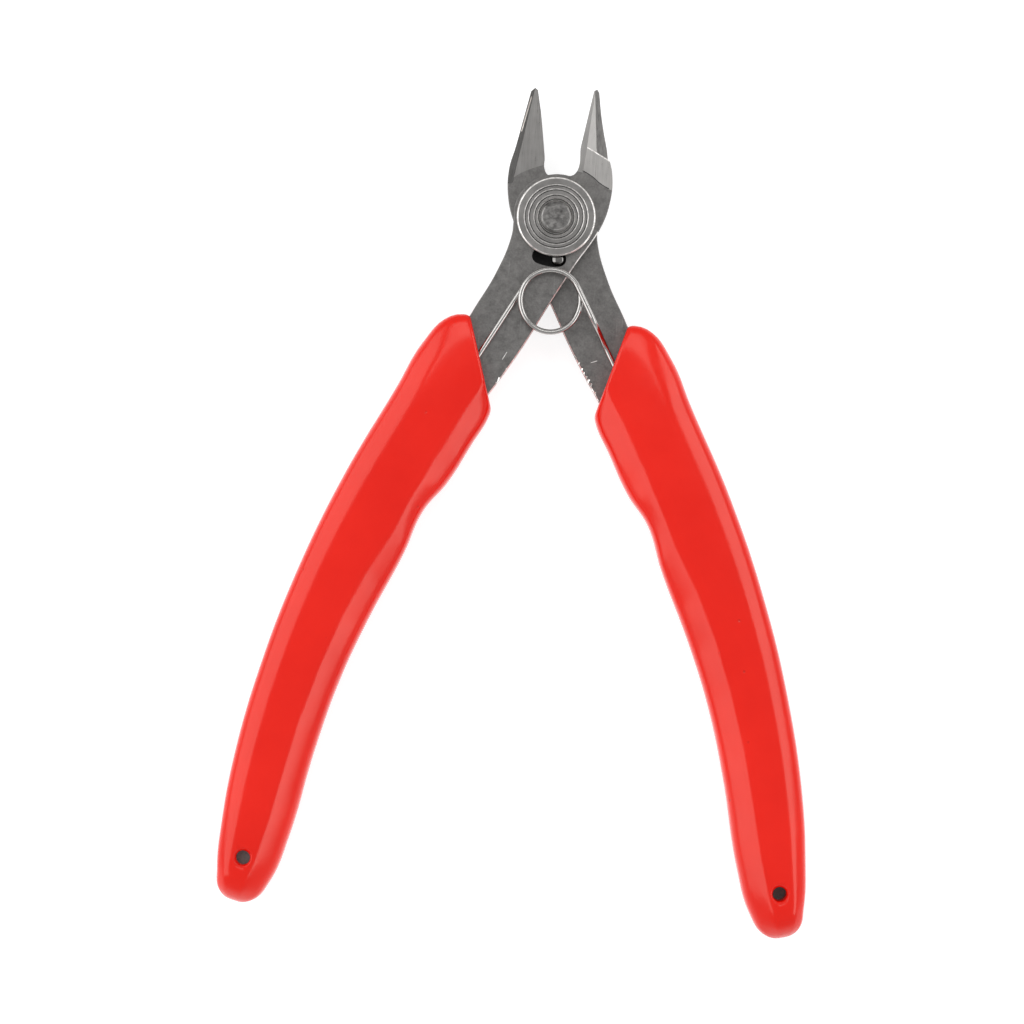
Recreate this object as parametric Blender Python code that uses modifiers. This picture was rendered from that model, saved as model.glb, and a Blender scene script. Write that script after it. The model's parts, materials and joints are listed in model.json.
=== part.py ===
"""Diagonal cutting pliers: two stamped halves on a riveted pivot, moulded grips and a wire return spring.

The tool lies flat with the rivet disc up. +Y runs from the pivot to the jaw tips along the line midway
between the halves, +X is the right-hand jaw's side, and the origin is the middle of the rivet's flat back.
Each half is drawn closed, with its cutting edge near x = 0, and is then opened about the pivot by an empty.
"""

import math

import bmesh
import bpy
from mathutils import Matrix, Vector

MM = 0.001

# Motion: the turn of each half about the pivot, from cutting edges met to fully open.
OPEN_HALF_ANGLE = math.radians(13.1)

# The stack along Z, from the rivet's flat back at z = 0.
PLATE_GAP = 0.1 * MM
REAR_HEAD_DEPTH = 1.2 * MM
PLATE_DEPTH = 2.4 * MM
DISC_DEPTH = 1.2 * MM
REAR_PLATE_Z = REAR_HEAD_DEPTH + PLATE_GAP
FRONT_PLATE_Z = REAR_PLATE_Z + PLATE_DEPTH + PLATE_GAP
DISC_Z = FRONT_PLATE_Z + PLATE_DEPTH + PLATE_GAP
DISC_TOP_Z = DISC_Z + DISC_DEPTH
SHEAR_Z = FRONT_PLATE_Z - PLATE_GAP / 2
FRONT, REAR = 1, -1
SHARP_ANGLE = math.radians(30)

# Pivot.
SHANK_RADIUS = 2.35 * MM
RUNNING_CLEARANCE = 0.05 * MM
REAR_HEAD_RADIUS = 5.0 * MM
DISC_RADIUS = 5.8 * MM
DISC_STEP_RADII = (4.63 * MM, 4.01 * MM, 3.23 * MM, 2.66 * MM)
DISC_STEP_DEPTH = 0.08 * MM

# Stop pin of the rear half, and the window of the front half that it travels in. At closed, angles are
# turned from straight down towards +X.
PIN_RADIUS = 1.05 * MM
PIN_ORBIT = 6.2 * MM
PIN_ANGLE = math.radians(-5.95)
PIN_TOP_Z = FRONT_PLATE_Z + 2.1 * MM
WINDOW_CLEARANCE = 0.1 * MM
WINDOW_MIDDLE = PIN_ANGLE + OPEN_HALF_ANGLE

# Grips.
GRIP_DEPTH = 10.0 * MM
GRIP_ROUND = 2.6 * MM
TANG_CLEARANCE = 0.3 * MM
END_HOLE_RADIUS = 1.05 * MM
END_HOLE_AT = Vector((-16.5, -103.7, 0.0)) * MM

# Spring wire.
WIRE_RADIUS = 0.4 * MM
COIL_RADIUS = 4.42 * MM
COIL_CENTRE_Y = -12.27 * MM
COIL_PITCH = 0.83 * MM
LEG_ANGLE = math.radians(29.2)
LEG_LENGTH = 26.0 * MM
LEG_DROP_FROM = 5.0 * MM
LEG_DROP_TO = 10.0 * MM
WIRE_REST_GAP = 0.1 * MM
LOW_TURN_Z = FRONT_PLATE_Z + PLATE_DEPTH + WIRE_REST_GAP + WIRE_RADIUS
REAR_LEG_Z = REAR_PLATE_Z + PLATE_DEPTH + WIRE_REST_GAP + WIRE_RADIUS
COIL_POINTS_PER_TURN = 20

# Outlines in millimetres of a closed half whose jaw is on the +X side and whose tang is on the -X side.
# A point is (x, y, "corner") where straight runs meet, or (x, y, "smooth") where the outline curves on.
# The rear half is the mirror image, and only its jaw is ground a little differently.
FRONT_JAW = (
    (0.1, 19.7, "corner"),
    (0.4, 19.6, "corner"),
    (2.2, 15.9, "smooth"),
    (4.4, 11.5, "smooth"),
    (6.15, 8.3, "smooth"),
    (7.0, 4.0, "smooth"),
    (6.7, 0.2, "smooth"),
)
FRONT_THROAT = (
    (-0.9, 6.3, "smooth"),
    (0.5, 6.6, "smooth"),
    (1.0, 7.7, "smooth"),
    (0.45, 11.0, "corner"),
)
REAR_JAW = (
    (-0.15, 19.4, "corner"),
    (0.1, 19.3, "corner"),
    (1.85, 15.9, "smooth"),
    (4.05, 11.5, "smooth"),
    (5.7, 8.3, "smooth"),
    (6.5, 4.0, "smooth"),
    (6.2, 0.2, "smooth"),
)
REAR_THROAT = (
    (-0.9, 6.3, "smooth"),
    (0.1, 6.5, "smooth"),
    (0.5, 7.5, "smooth"),
    (0.15, 9.2, "smooth"),
    (-0.2, 10.6, "corner"),
)
TANG = (
    (4.65, -6.2, "smooth"),
    (2.8, -12.6, "smooth"),
    (1.1, -19.0, "smooth"),
    (-0.55, -24.2, "smooth"),
    (-1.9, -28.0, "smooth"),
    (-5.2, -38.0, "smooth"),
    (-9.0, -52.0, "smooth"),
    (-12.6, -70.0, "smooth"),
    (-14.0, -88.0, "smooth"),
    (-14.2, -104.5, "smooth"),
    (-16.3, -107.0, "smooth"),
    (-18.2, -104.5, "smooth"),
    (-18.8, -84.0, "smooth"),
    (-17.2, -60.0, "smooth"),
    (-13.6, -41.0, "smooth"),
    (-10.2, -27.5, "smooth"),
    (-7.7, -16.7, "smooth"),
    (-6.1, -10.5, "smooth"),
    (-5.5, -4.5, "smooth"),
)
EYE_RADIUS = 6.35
EYE_ARC = (math.radians(204.0), math.radians(108.0))
EYE_ARC_POINTS = 5

# The grip's outline runs on past the mouth, whose slanting face is then cut between these two points.
MOUTH = ((-7.9, -17.6), (-1.5, -28.8))
GRIP = (
    (-7.9, -17.5, "smooth"),
    (-4.2, -17.8, "smooth"),
    (-1.6, -21.5, "smooth"),
    (-1.2, -28.2, "smooth"),
    (-0.85, -30.3, "smooth"),
    (-2.2, -36.0, "smooth"),
    (-3.9, -42.2, "smooth"),
    (-6.1, -47.2, "smooth"),
    (-7.0, -54.0, "smooth"),
    (-9.2, -65.0, "smooth"),
    (-10.6, -75.0, "smooth"),
    (-11.1, -86.0, "smooth"),
    (-11.0, -99.0, "smooth"),
    (-11.8, -106.3, "smooth"),
    (-13.4, -109.6, "smooth"),
    (-16.0, -110.5, "smooth"),
    (-18.5, -109.6, "smooth"),
    (-19.9, -106.3, "smooth"),
    (-21.2, -99.8, "smooth"),
    (-22.3, -90.0, "smooth"),
    (-22.5, -76.0, "smooth"),
    (-21.4, -61.0, "smooth"),
    (-18.9, -45.5, "smooth"),
    (-15.2, -30.5, "smooth"),
    (-13.5, -23.4, "smooth"),
    (-10.8, -18.6, "smooth"),
)

# Facets ground on a jaw: the (start, end) of the line that a facet leaves the flat face along, in
# millimetres, then how far it reaches sideways from that line and how deep it has gone there.
FLANK_REACH = 1.25 * MM
FLANK_DROP = 0.85 * MM
EDGE_REACH = 1.25 * MM
EDGE_DROP = 2.25 * MM
FRONT_FLANK = ((0.15, 19.3), (4.0, 10.4))
FRONT_EDGE = ((0.95, 17.9), (2.0, 7.4))
REAR_FLANK = ((-0.2, 19.3), (5.0, 7.0))
REAR_EDGE = ((0.55, 17.9), (1.4, 7.4))


def clear_scene():
    for obj in list(bpy.data.objects):
        bpy.data.objects.remove(obj, do_unlink=True)


def new_collection(name):
    collection = bpy.data.collections.new(name)
    bpy.context.scene.collection.children.link(collection)
    return collection


def new_material(name, colour, metallic, roughness):
    material = bpy.data.materials.new(name)
    material.use_nodes = True
    shader = material.node_tree.nodes["Principled BSDF"]
    shader.inputs["Base Color"].default_value = (*colour, 1.0)
    shader.inputs["Metallic"].default_value = metallic
    shader.inputs["Roughness"].default_value = roughness
    return material


def link_cutter(obj):
    """A cutter shapes other pieces and is never a piece itself."""
    cutters.objects.link(obj)
    obj.hide_render = True
    obj.display_type = "WIRE"
    return obj


def add_piece(obj, material, parent=None):
    pieces.objects.link(obj)
    obj.data.materials.append(material)
    obj.parent = parent
    if obj.type == "MESH":
        obj.data.shade_smooth()
        obj.data.set_sharp_from_angle(angle=SHARP_ANGLE)


def subtract(obj, cutter):
    modifier = obj.modifiers.new(f"cut {cutter.name}", "BOOLEAN")
    modifier.operation = "DIFFERENCE"
    modifier.object = cutter


def mesh_object(name, build, *settings):
    """An object whose mesh is made by build(bm, *settings)."""
    bm = bmesh.new()
    build(bm, *settings)
    mesh = bpy.data.meshes.new(name)
    bm.to_mesh(mesh)
    bm.free()
    return bpy.data.objects.new(name, mesh)


def outline_object(name, points, depth, middle_z, side=FRONT, resolution=4, round_depth=0.0, grow=0.0):
    """A flat closed outline filled and extruded to depth, as a mesh; side REAR mirrors it in x."""
    curve = bpy.data.curves.new(name, "CURVE")
    curve.dimensions = "2D"
    curve.fill_mode = "BOTH"
    curve.extrude = depth / 2 - round_depth
    curve.bevel_depth = round_depth
    curve.bevel_resolution = 2
    curve.offset = grow - round_depth
    curve.resolution_u = resolution
    spline = curve.splines.new("BEZIER")
    spline.bezier_points.add(len(points) - 1)
    spline.use_cyclic_u = True
    for point, (x, y, kind) in zip(spline.bezier_points, points):
        point.co = (side * x * MM, y * MM, 0.0)
        handle = "VECTOR" if kind == "corner" else "AUTO"
        point.handle_left_type = handle
        point.handle_right_type = handle
    drawn = bpy.data.objects.new(f"{name} outline", curve)
    drawn.location.z = middle_z
    return made_mesh(name, drawn)


def made_mesh(name, drawn):
    """A welded mesh object in the place of a drawn curve or a turned profile, which is removed."""
    bpy.context.scene.collection.objects.link(drawn)
    bpy.context.view_layer.update()
    graph = bpy.context.evaluated_depsgraph_get()
    mesh = bpy.data.meshes.new_from_object(drawn.evaluated_get(graph))
    mesh.name = name
    bm = bmesh.new()
    bm.from_mesh(mesh)
    bmesh.ops.remove_doubles(bm, verts=bm.verts, dist=0.002 * MM)
    bmesh.ops.recalc_face_normals(bm, faces=bm.faces)
    bm.to_mesh(mesh)
    bm.free()
    solid = bpy.data.objects.new(name, mesh)
    solid.matrix_world = drawn.matrix_world
    bpy.data.objects.remove(drawn, do_unlink=True)
    return solid


def turned_object(name, profile, steps=48, closed=False):
    """A body turned about Z from (radius, z) points that run down its outer side."""

    def build(bm):
        verts = [bm.verts.new((radius, 0.0, z)) for radius, z in profile]
        for upper, lower in zip(verts, verts[1:]):
            bm.edges.new((upper, lower))
        if closed:
            bm.edges.new((verts[-1], verts[0]))

    drawn = mesh_object(f"{name} profile", build)
    screw = drawn.modifiers.new("turned", "SCREW")
    screw.steps = steps
    screw.render_steps = steps
    screw.use_merge_vertices = True
    screw.merge_threshold = 0.001 * MM
    return made_mesh(name, drawn)


def cylinder(bm, radius, low_z, high_z, segments, at):
    bmesh.ops.create_cone(
        bm,
        cap_ends=True,
        segments=segments,
        radius1=radius,
        radius2=radius,
        depth=high_z - low_z,
        matrix=Matrix.Translation((at.x, at.y, (low_z + high_z) / 2)),
    )


def box(bm, size, matrix):
    bmesh.ops.create_cube(bm, size=1.0, matrix=matrix @ Matrix.Diagonal((*size, 1.0)))


def opened_empty(name, side):
    """The pivot of one half, turned to fully open: the front half's tang swings towards -X."""
    empty = bpy.data.objects.new(name, None)
    pieces.objects.link(empty)
    empty.empty_display_size = 10 * MM
    empty.rotation_euler.z = -side * OPEN_HALF_ANGLE
    return empty


def arc_points(middle, radius, start, end, count):
    """Points round an arc from one angle to another, both ends included."""
    turns = [start + (end - start) * i / (count - 1) for i in range(count)]
    return [(middle[0] + radius * math.cos(turn), middle[1] + radius * math.sin(turn)) for turn in turns]


def blade_outline(side):
    jaw, throat = (FRONT_JAW, FRONT_THROAT) if side == FRONT else (REAR_JAW, REAR_THROAT)
    eye = [(x, y, "smooth") for x, y in arc_points((0.0, 0.0), EYE_RADIUS, *EYE_ARC, EYE_ARC_POINTS)]
    return [*jaw, *TANG, *eye, *throat]


def facet_cutter(name, line, reach, drop, face_z, up, away, side, parent):
    """A block whose lower face is the plane of a ground facet. The facet leaves the face at height
    face_z along its line, drops against up, and away (+1 or -1) is the side of the line it drops on."""
    (x0, y0), (x1, y1) = line
    start = Vector((side * x0 * MM, y0 * MM, face_z))
    end = Vector((side * x1 * MM, y1 * MM, face_z))
    along = (end - start).normalized()
    sideways = Vector((-along.y, along.x, 0.0)) * away * side
    slope = (sideways * reach - Vector((0.0, 0.0, up)) * drop).normalized()
    outward = along.cross(slope)
    if outward.z * up < 0:
        outward.negate()
    length = (end - start).length + 4 * MM
    width = 6 * MM
    middle = (start + end) / 2 - along * 2 * MM + slope * width / 2 + outward * width / 2
    axes = Matrix((along, slope, outward)).transposed().to_4x4()
    matrix = Matrix.Translation(middle) @ axes
    cutter = link_cutter(mesh_object(name, box, (length, width, width), matrix))
    fix_winding(cutter)
    cutter.parent = parent
    return cutter


def fix_winding(obj):
    """A box set on left-handed axes comes out inside out, so its faces are turned to point out."""
    bm = bmesh.new()
    bm.from_mesh(obj.data)
    bmesh.ops.recalc_face_normals(bm, faces=bm.faces)
    bm.to_mesh(obj.data)
    bm.free()


def window_cutter():
    """The crescent window: a slot along the stop pin's orbit, with round ends."""
    orbit = PIN_ORBIT / MM
    half_width = (PIN_RADIUS + WINDOW_CLEARANCE) / MM
    straight_down = -math.pi / 2
    first = straight_down + WINDOW_MIDDLE - OPEN_HALF_ANGLE
    last = straight_down + WINDOW_MIDDLE + OPEN_HALF_ANGLE
    first_middle = (orbit * math.cos(first), orbit * math.sin(first))
    last_middle = (orbit * math.cos(last), orbit * math.sin(last))
    outline = [
        *arc_points((0.0, 0.0), orbit + half_width, first, last, 9)[:-1],
        *arc_points(last_middle, half_width, last, last + math.pi, 9)[:-1],
        *arc_points((0.0, 0.0), orbit - half_width, last, first, 9)[:-1],
        *arc_points(first_middle, half_width, first + math.pi, first + 2 * math.pi, 9)[:-1],
    ]
    corners = [(x, y, "corner") for x, y in outline]
    middle_z = FRONT_PLATE_Z + PLATE_DEPTH / 2
    return outline_object("window", corners, PLATE_DEPTH + 2 * MM, middle_z, resolution=1)


def pin_place(turn):
    return Vector((math.sin(turn), -math.cos(turn), 0.0)) * PIN_ORBIT


def make_blade(name, side, plate_z, steel, parent):
    """One half: jaw, pivot eye and tang. The cutting edge lies in the plane where the halves shear."""
    blade = outline_object(name, blade_outline(side), PLATE_DEPTH, plate_z + PLATE_DEPTH / 2, side)
    add_piece(blade, steel, parent)
    eye = link_cutter(
        mesh_object(
            f"{name} eye",
            cylinder,
            SHANK_RADIUS + RUNNING_CLEARANCE,
            plate_z - MM,
            plate_z + PLATE_DEPTH + MM,
            48,
            Vector((0.0, 0.0)),
        )
    )
    subtract(blade, eye)
    flank, edge = (FRONT_FLANK, FRONT_EDGE) if side == FRONT else (REAR_FLANK, REAR_EDGE)
    top_z = plate_z + PLATE_DEPTH
    outer_z = top_z if side == FRONT else plate_z
    for label, line, reach, drop, face_z, up, away in (
        ("upper flank", flank, FLANK_REACH, FLANK_DROP, top_z, 1, 1),
        ("lower flank", flank, FLANK_REACH, FLANK_DROP, plate_z, -1, 1),
        ("edge", edge, EDGE_REACH, EDGE_DROP, outer_z, side, -1),
    ):
        subtract(blade, facet_cutter(f"{name} {label}", line, reach, drop, face_z, up, away, side, parent))
    return blade


def make_stop(front_blade, rear_blade, front_pivot, rear_pivot, steel):
    """The stop pin, pressed into the rear half, and the window of the front half that it runs in."""
    window = link_cutter(window_cutter())
    window.parent = front_pivot
    subtract(front_blade, window)
    at = pin_place(PIN_ANGLE)
    hole = mesh_object(
        "pin hole",
        cylinder,
        PIN_RADIUS + RUNNING_CLEARANCE,
        REAR_PLATE_Z - MM,
        REAR_PLATE_Z + PLATE_DEPTH + MM,
        24,
        at,
    )
    link_cutter(hole).parent = rear_pivot
    subtract(rear_blade, hole)
    dome = [
        (PIN_RADIUS * math.sin(turn), PIN_TOP_Z - PIN_RADIUS * 0.5 * (1 - math.cos(turn)))
        for turn in (math.radians(18 * i) for i in range(6))
    ]
    pin = turned_object("stop_pin", [*dome, (PIN_RADIUS, REAR_PLATE_Z), (0.0, REAR_PLATE_Z)], steps=24)
    add_piece(pin, steel, rear_pivot)
    pin.location = at


def make_rivet(steel):
    """Shank with a chamfered rear head, and a shallow spun cup in the end that shows in the disc."""
    chamfer = 0.3 * MM
    spun_depth = 0.12 * MM
    profile = [
        (0.0, DISC_TOP_Z - spun_depth),
        (SHANK_RADIUS * 0.7, DISC_TOP_Z - spun_depth),
        (SHANK_RADIUS * 0.9, DISC_TOP_Z),
        (SHANK_RADIUS, DISC_TOP_Z - spun_depth),
        (SHANK_RADIUS, REAR_HEAD_DEPTH),
        (REAR_HEAD_RADIUS, REAR_HEAD_DEPTH),
        (REAR_HEAD_RADIUS, chamfer),
        (REAR_HEAD_RADIUS - chamfer, 0.0),
        (0.0, 0.0),
    ]
    add_piece(turned_object("pivot_rivet", profile), steel)


def make_disc(steel):
    """The disc round the rivet's end, turned in shallow steps that fall towards the middle."""
    hole = SHANK_RADIUS + RUNNING_CLEARANCE
    rim_chamfer = 0.25 * MM
    profile = [
        (hole, DISC_Z),
        (hole, DISC_TOP_Z - len(DISC_STEP_RADII) * DISC_STEP_DEPTH),
    ]
    for step, radius in reversed(list(enumerate(DISC_STEP_RADII))):
        profile.append((radius, DISC_TOP_Z - (step + 1) * DISC_STEP_DEPTH))
        profile.append((radius, DISC_TOP_Z - step * DISC_STEP_DEPTH))
    profile += [
        (DISC_RADIUS - rim_chamfer, DISC_TOP_Z),
        (DISC_RADIUS, DISC_TOP_Z - rim_chamfer),
        (DISC_RADIUS, DISC_Z),
    ]
    add_piece(turned_object("rivet_disc", profile, closed=True), steel)


def leg_line(side):
    """Where a leg leaves the coil, and its direction: side REAR is the right-hand leg."""
    outwards = -side
    radial = Vector((outwards * math.cos(LEG_ANGLE), math.sin(LEG_ANGLE), 0.0))
    start = Vector((0.0, COIL_CENTRE_Y, 0.0)) + radial * COIL_RADIUS
    along = Vector((outwards * math.sin(LEG_ANGLE), -math.cos(LEG_ANGLE), 0.0))
    return start, along


def spring_path():
    """Wire centre line: up the left leg, clockwise over the top for a turn and more, down the right leg."""
    turns = 1.0 + (math.pi - 2 * LEG_ANGLE) / (2 * math.pi)
    high_turn_z = LOW_TURN_Z + COIL_PITCH * turns
    start, along = leg_line(FRONT)
    path = [start + along * LEG_LENGTH + Vector((0.0, 0.0, LOW_TURN_Z))]
    steps = round(turns * COIL_POINTS_PER_TURN)
    for i in range(steps + 1):
        share = i / steps
        turn = math.pi - LEG_ANGLE - share * turns * 2 * math.pi
        path.append(
            Vector(
                (
                    COIL_RADIUS * math.cos(turn),
                    COIL_CENTRE_Y + COIL_RADIUS * math.sin(turn),
                    LOW_TURN_Z + (high_turn_z - LOW_TURN_Z) * share,
                )
            )
        )
    start, along = leg_line(REAR)
    drop_steps = 6
    for i in range(drop_steps + 1):
        share = i / drop_steps
        eased = (1 - math.cos(math.pi * share)) / 2
        distance = LEG_DROP_FROM + (LEG_DROP_TO - LEG_DROP_FROM) * share
        height = high_turn_z + (REAR_LEG_Z - high_turn_z) * eased
        path.append(start + along * distance + Vector((0.0, 0.0, height)))
    path.append(start + along * LEG_LENGTH + Vector((0.0, 0.0, REAR_LEG_Z)))
    return path


def make_spring(wire):
    curve = bpy.data.curves.new("return_spring", "CURVE")
    curve.dimensions = "3D"
    curve.bevel_depth = WIRE_RADIUS
    curve.bevel_resolution = 2
    curve.use_fill_caps = True
    path = spring_path()
    spline = curve.splines.new("POLY")
    spline.points.add(len(path) - 1)
    for point, place in zip(spline.points, path):
        point.co = (*place, 1.0)
    add_piece(bpy.data.objects.new("return_spring", curve), wire)


def mouth_cutter(name, side):
    """A block that stands on the grip's slanting mouth face, towards the jaws."""
    start, end = (Vector((side * x * MM, y * MM, SHEAR_Z)) for x, y in MOUTH)
    along = (end - start).normalized()
    outward = Vector((-along.y, along.x, 0.0)) * side
    reach = 20 * MM
    length = (end - start).length + reach
    axes = Matrix((along, outward, Vector((0.0, 0.0, 1.0)))).transposed().to_4x4()
    place = Matrix.Translation((start + end) / 2 + outward * reach / 2) @ axes
    cutter = mesh_object(f"{name} mouth", box, (length, reach, 2 * GRIP_DEPTH), place)
    fix_winding(cutter)
    return link_cutter(cutter)


def make_grip(name, side, tang_z, wire_z, plastic, parent):
    """A moulded sleeve with a pocket for its tang, a channel for the spring's leg and a hole near its end."""
    grip = outline_object(name, GRIP, GRIP_DEPTH, SHEAR_Z, side, round_depth=GRIP_ROUND)
    add_piece(grip, plastic, parent)
    mouth = mouth_cutter(name, side)
    mouth.parent = parent
    subtract(grip, mouth)
    pocket = outline_object(
        f"{name} pocket",
        blade_outline(side),
        PLATE_DEPTH + 2 * TANG_CLEARANCE,
        tang_z + PLATE_DEPTH / 2,
        side,
        grow=TANG_CLEARANCE,
    )
    link_cutter(pocket).parent = parent
    subtract(grip, pocket)

    start, along = leg_line(side)
    closing = Matrix.Rotation(side * OPEN_HALF_ANGLE, 4, "Z")
    start = closing @ start
    along = closing @ along
    channel_top = wire_z + WIRE_RADIUS + TANG_CLEARANCE
    channel_bottom = tang_z + PLATE_DEPTH / 2
    length = LEG_LENGTH + TANG_CLEARANCE
    middle = start + along * length / 2 + Vector((0.0, 0.0, (channel_top + channel_bottom) / 2))
    across = Vector((-along.y, along.x, 0.0))
    axes = Matrix((along, across, Vector((0.0, 0.0, 1.0)))).transposed().to_4x4()
    size = (length, 2 * (WIRE_RADIUS + TANG_CLEARANCE), channel_top - channel_bottom)
    channel = mesh_object(f"{name} channel", box, size, Matrix.Translation(middle) @ axes)
    link_cutter(channel).parent = parent
    subtract(grip, channel)

    at = Vector((side * END_HOLE_AT.x, END_HOLE_AT.y))
    hole = mesh_object(
        f"{name} end hole", cylinder, END_HOLE_RADIUS, SHEAR_Z - GRIP_DEPTH, SHEAR_Z + GRIP_DEPTH, 24, at
    )
    link_cutter(hole).parent = parent
    subtract(grip, hole)


def main():
    blade_steel = new_material("blade_steel", (0.24, 0.235, 0.23), 1.0, 0.38)
    disc_steel = new_material("disc_steel", (0.47, 0.455, 0.44), 1.0, 0.32)
    spring_wire = new_material("spring_wire", (0.62, 0.60, 0.58), 1.0, 0.18)
    grip_plastic = new_material("grip_plastic", (0.80, 0.022, 0.012), 0.0, 0.25)

    front_pivot = opened_empty("front_half_pivot", FRONT)
    rear_pivot = opened_empty("rear_half_pivot", REAR)
    front_blade = make_blade("front_blade_half", FRONT, FRONT_PLATE_Z, blade_steel, front_pivot)
    rear_blade = make_blade("rear_blade_half", REAR, REAR_PLATE_Z, blade_steel, rear_pivot)
    make_stop(front_blade, rear_blade, front_pivot, rear_pivot, disc_steel)
    make_rivet(disc_steel)
    make_disc(disc_steel)
    make_spring(spring_wire)
    make_grip("left_grip", FRONT, FRONT_PLATE_Z, LOW_TURN_Z, grip_plastic, front_pivot)
    make_grip("right_grip", REAR, REAR_PLATE_Z, REAR_LEG_Z, grip_plastic, rear_pivot)


clear_scene()
pieces = new_collection("diagonal_cutting_pliers")
cutters = new_collection("cutters")
main()
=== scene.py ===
"""Looks of the diagonal cutting pliers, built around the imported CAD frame.

The tool lies flat in the frame, in metres: +Z towards the stepped disc, +Y towards the jaw tips, with the
pivot's axis through the origin. Each half is drawn closed, and is then turned open about the pivot.
Lengths in the outlines and facets are millimetres.
"""

import json
import math
import random

import bmesh
import bpy
from mathutils import Matrix, Vector, noise
from mathutils.geometry import interpolate_bezier


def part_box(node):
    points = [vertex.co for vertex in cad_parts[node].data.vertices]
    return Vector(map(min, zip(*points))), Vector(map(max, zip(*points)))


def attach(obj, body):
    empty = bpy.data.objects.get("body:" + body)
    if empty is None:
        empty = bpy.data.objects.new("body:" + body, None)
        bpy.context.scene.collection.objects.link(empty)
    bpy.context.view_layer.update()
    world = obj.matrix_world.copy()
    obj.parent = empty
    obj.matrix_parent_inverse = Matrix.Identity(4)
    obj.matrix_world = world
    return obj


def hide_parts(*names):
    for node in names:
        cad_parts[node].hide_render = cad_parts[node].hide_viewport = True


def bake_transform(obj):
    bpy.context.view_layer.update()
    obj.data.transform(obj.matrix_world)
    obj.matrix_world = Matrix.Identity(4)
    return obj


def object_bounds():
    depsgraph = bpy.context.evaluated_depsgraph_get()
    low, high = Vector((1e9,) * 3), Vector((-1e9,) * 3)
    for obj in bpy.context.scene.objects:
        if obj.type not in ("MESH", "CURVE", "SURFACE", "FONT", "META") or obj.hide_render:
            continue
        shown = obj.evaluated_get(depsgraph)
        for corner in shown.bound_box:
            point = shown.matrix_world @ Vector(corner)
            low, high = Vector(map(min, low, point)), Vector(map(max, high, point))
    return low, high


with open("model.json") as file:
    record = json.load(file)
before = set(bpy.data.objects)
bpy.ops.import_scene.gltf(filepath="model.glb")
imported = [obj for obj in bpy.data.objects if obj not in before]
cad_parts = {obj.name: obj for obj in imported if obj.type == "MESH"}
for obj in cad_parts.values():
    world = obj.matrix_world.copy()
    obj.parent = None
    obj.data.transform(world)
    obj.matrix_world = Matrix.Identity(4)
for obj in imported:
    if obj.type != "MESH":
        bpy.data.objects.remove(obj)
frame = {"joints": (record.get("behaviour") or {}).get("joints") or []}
CAD_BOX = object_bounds()

MM = 0.001
FRONT, REAR = 1, -1

# What the frame says: the swing of a half from open to closed, and the heights of plates, disc and grips.
SWING = next(joint for joint in frame["joints"] if joint["name"] == "front_half_swing")
OPEN_HALF_ANGLE = math.radians(max(SWING["range_deg"]))
REAR_PLATE_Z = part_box("rear_blade_half")[0].z
REAR_FACE_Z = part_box("rear_blade_half")[1].z
FRONT_PLATE_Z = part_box("front_blade_half")[0].z
FRONT_FACE_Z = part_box("front_blade_half")[1].z
PLATE_HEIGHTS = {FRONT: (FRONT_PLATE_Z, FRONT_FACE_Z), REAR: (REAR_PLATE_Z, REAR_FACE_Z)}
DISC_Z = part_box("rivet_disc")[0].z
DISC_TOP_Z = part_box("rivet_disc")[1].z
DISC_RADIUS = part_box("rivet_disc")[1].x
REAR_HEAD_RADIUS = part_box("pivot_rivet")[1].x
GRIP_MIDDLE_Z = (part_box("left_grip")[0].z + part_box("left_grip")[1].z) / 2
GRIP_HALF_DEPTH = (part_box("left_grip")[1].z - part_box("left_grip")[0].z) / 2
PIN_LOW, PIN_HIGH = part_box("stop_pin")
FLOOR_Z = CAD_BOX[0].z

# Pivot parts.
SHANK_RADIUS = 2.35 * MM
RUNNING_CLEARANCE = 0.05 * MM
REAR_HEAD_DEPTH = 1.2 * MM
DISC_STEP_RADII = (4.63 * MM, 4.01 * MM, 3.23 * MM, 2.66 * MM)
DISC_STEP_DEPTH = 0.08 * MM
PIN_ORBIT = 6.2
PIN_RADIUS = (PIN_HIGH.x - PIN_LOW.x) / 2
WINDOW_HALF_WIDTH = PIN_RADIUS / MM + 0.1
WINDOW_MIDDLE = math.radians(7.15)
RELIEF_PAST_PIN = math.radians(10.0)
RELIEF_MARGIN = 0.12
RELIEF_DEPTH = 0.3 * MM
SLOT_POINTS = 17
BORE_POINTS = 97

# Spring wire.
WIRE_RADIUS = 0.4 * MM
WIRE_REST_GAP = 0.1 * MM
COIL_RADIUS = 4.42 * MM
COIL_BULGE = 0.35 * MM
COIL_CENTRE_Y = -12.27 * MM
COIL_PITCH = 0.83 * MM
LEG_ANGLE = math.radians(29.2)
LEG_LENGTH = 26.0 * MM
LEG_DROP_FROM = 5.0 * MM
LEG_DROP_TO = 10.0 * MM
LOW_TURN_Z = FRONT_FACE_Z + WIRE_REST_GAP + WIRE_RADIUS
REAR_LEG_Z = REAR_FACE_Z + WIRE_REST_GAP + WIRE_RADIUS
COIL_TURNS = 1.0 + (math.pi - 2 * LEG_ANGLE) / (2 * math.pi)

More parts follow.
